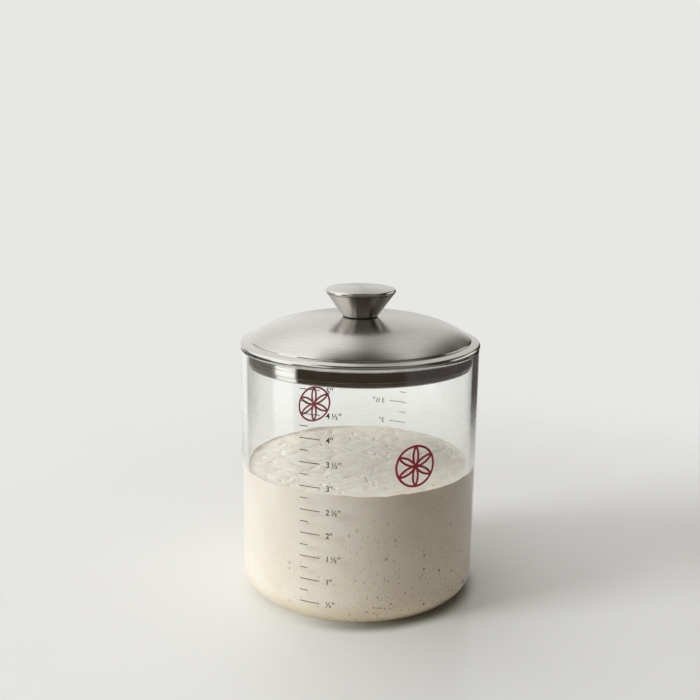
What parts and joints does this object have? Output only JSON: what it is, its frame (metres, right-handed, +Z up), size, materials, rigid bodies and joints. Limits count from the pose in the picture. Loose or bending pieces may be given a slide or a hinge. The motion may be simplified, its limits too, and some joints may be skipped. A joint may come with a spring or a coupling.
{
  "type": "sourdough starter jar",
  "caption": "Straight glass jar with a printed inch scale, filled with starter, under a loose domed steel lid with a conical knob.",
  "frame": {"origin": "centre of the jar's flat base, on the surface it stands on", "axes": "+Z up the jar's axis; -Y is the front, with the scale a little to the left of it, on the -X side"},
  "size_m": [0.1308, 0.1308, 0.1699],
  "materials": {
    "clear_glass": "gloss",
    "dark_enamel": "satin",
    "red_enamel": "satin",
    "batter": "satin",
    "brushed_lid": "satin",
    "brushed_knob": "satin",
    "bright_steel": "polished",
    "dark_rubber": "matte"
  },
  "bodies": {
    "jar": {"glass_jar": "clear_glass", "front_scale": "dark_enamel", "rear_scale": "dark_enamel", "starter": "batter"},
    "lid": {"lid_dome": "brushed_lid", "lid_skirt": "bright_steel", "knob_gasket": "dark_rubber", "knob_shell": "brushed_knob", "knob_cap": "brushed_knob", "knob_boss": "bright_steel", "flat_washer": "bright_steel", "spring_washer": "bright_steel", "knob_screw": "bright_steel"}
  },
  "joints": [
    {"name": "lid_lift", "type": "slide", "parent": "jar", "child": "lid", "axis": [0, 0, 1], "range_m": [0, 0.1]}
  ]
}
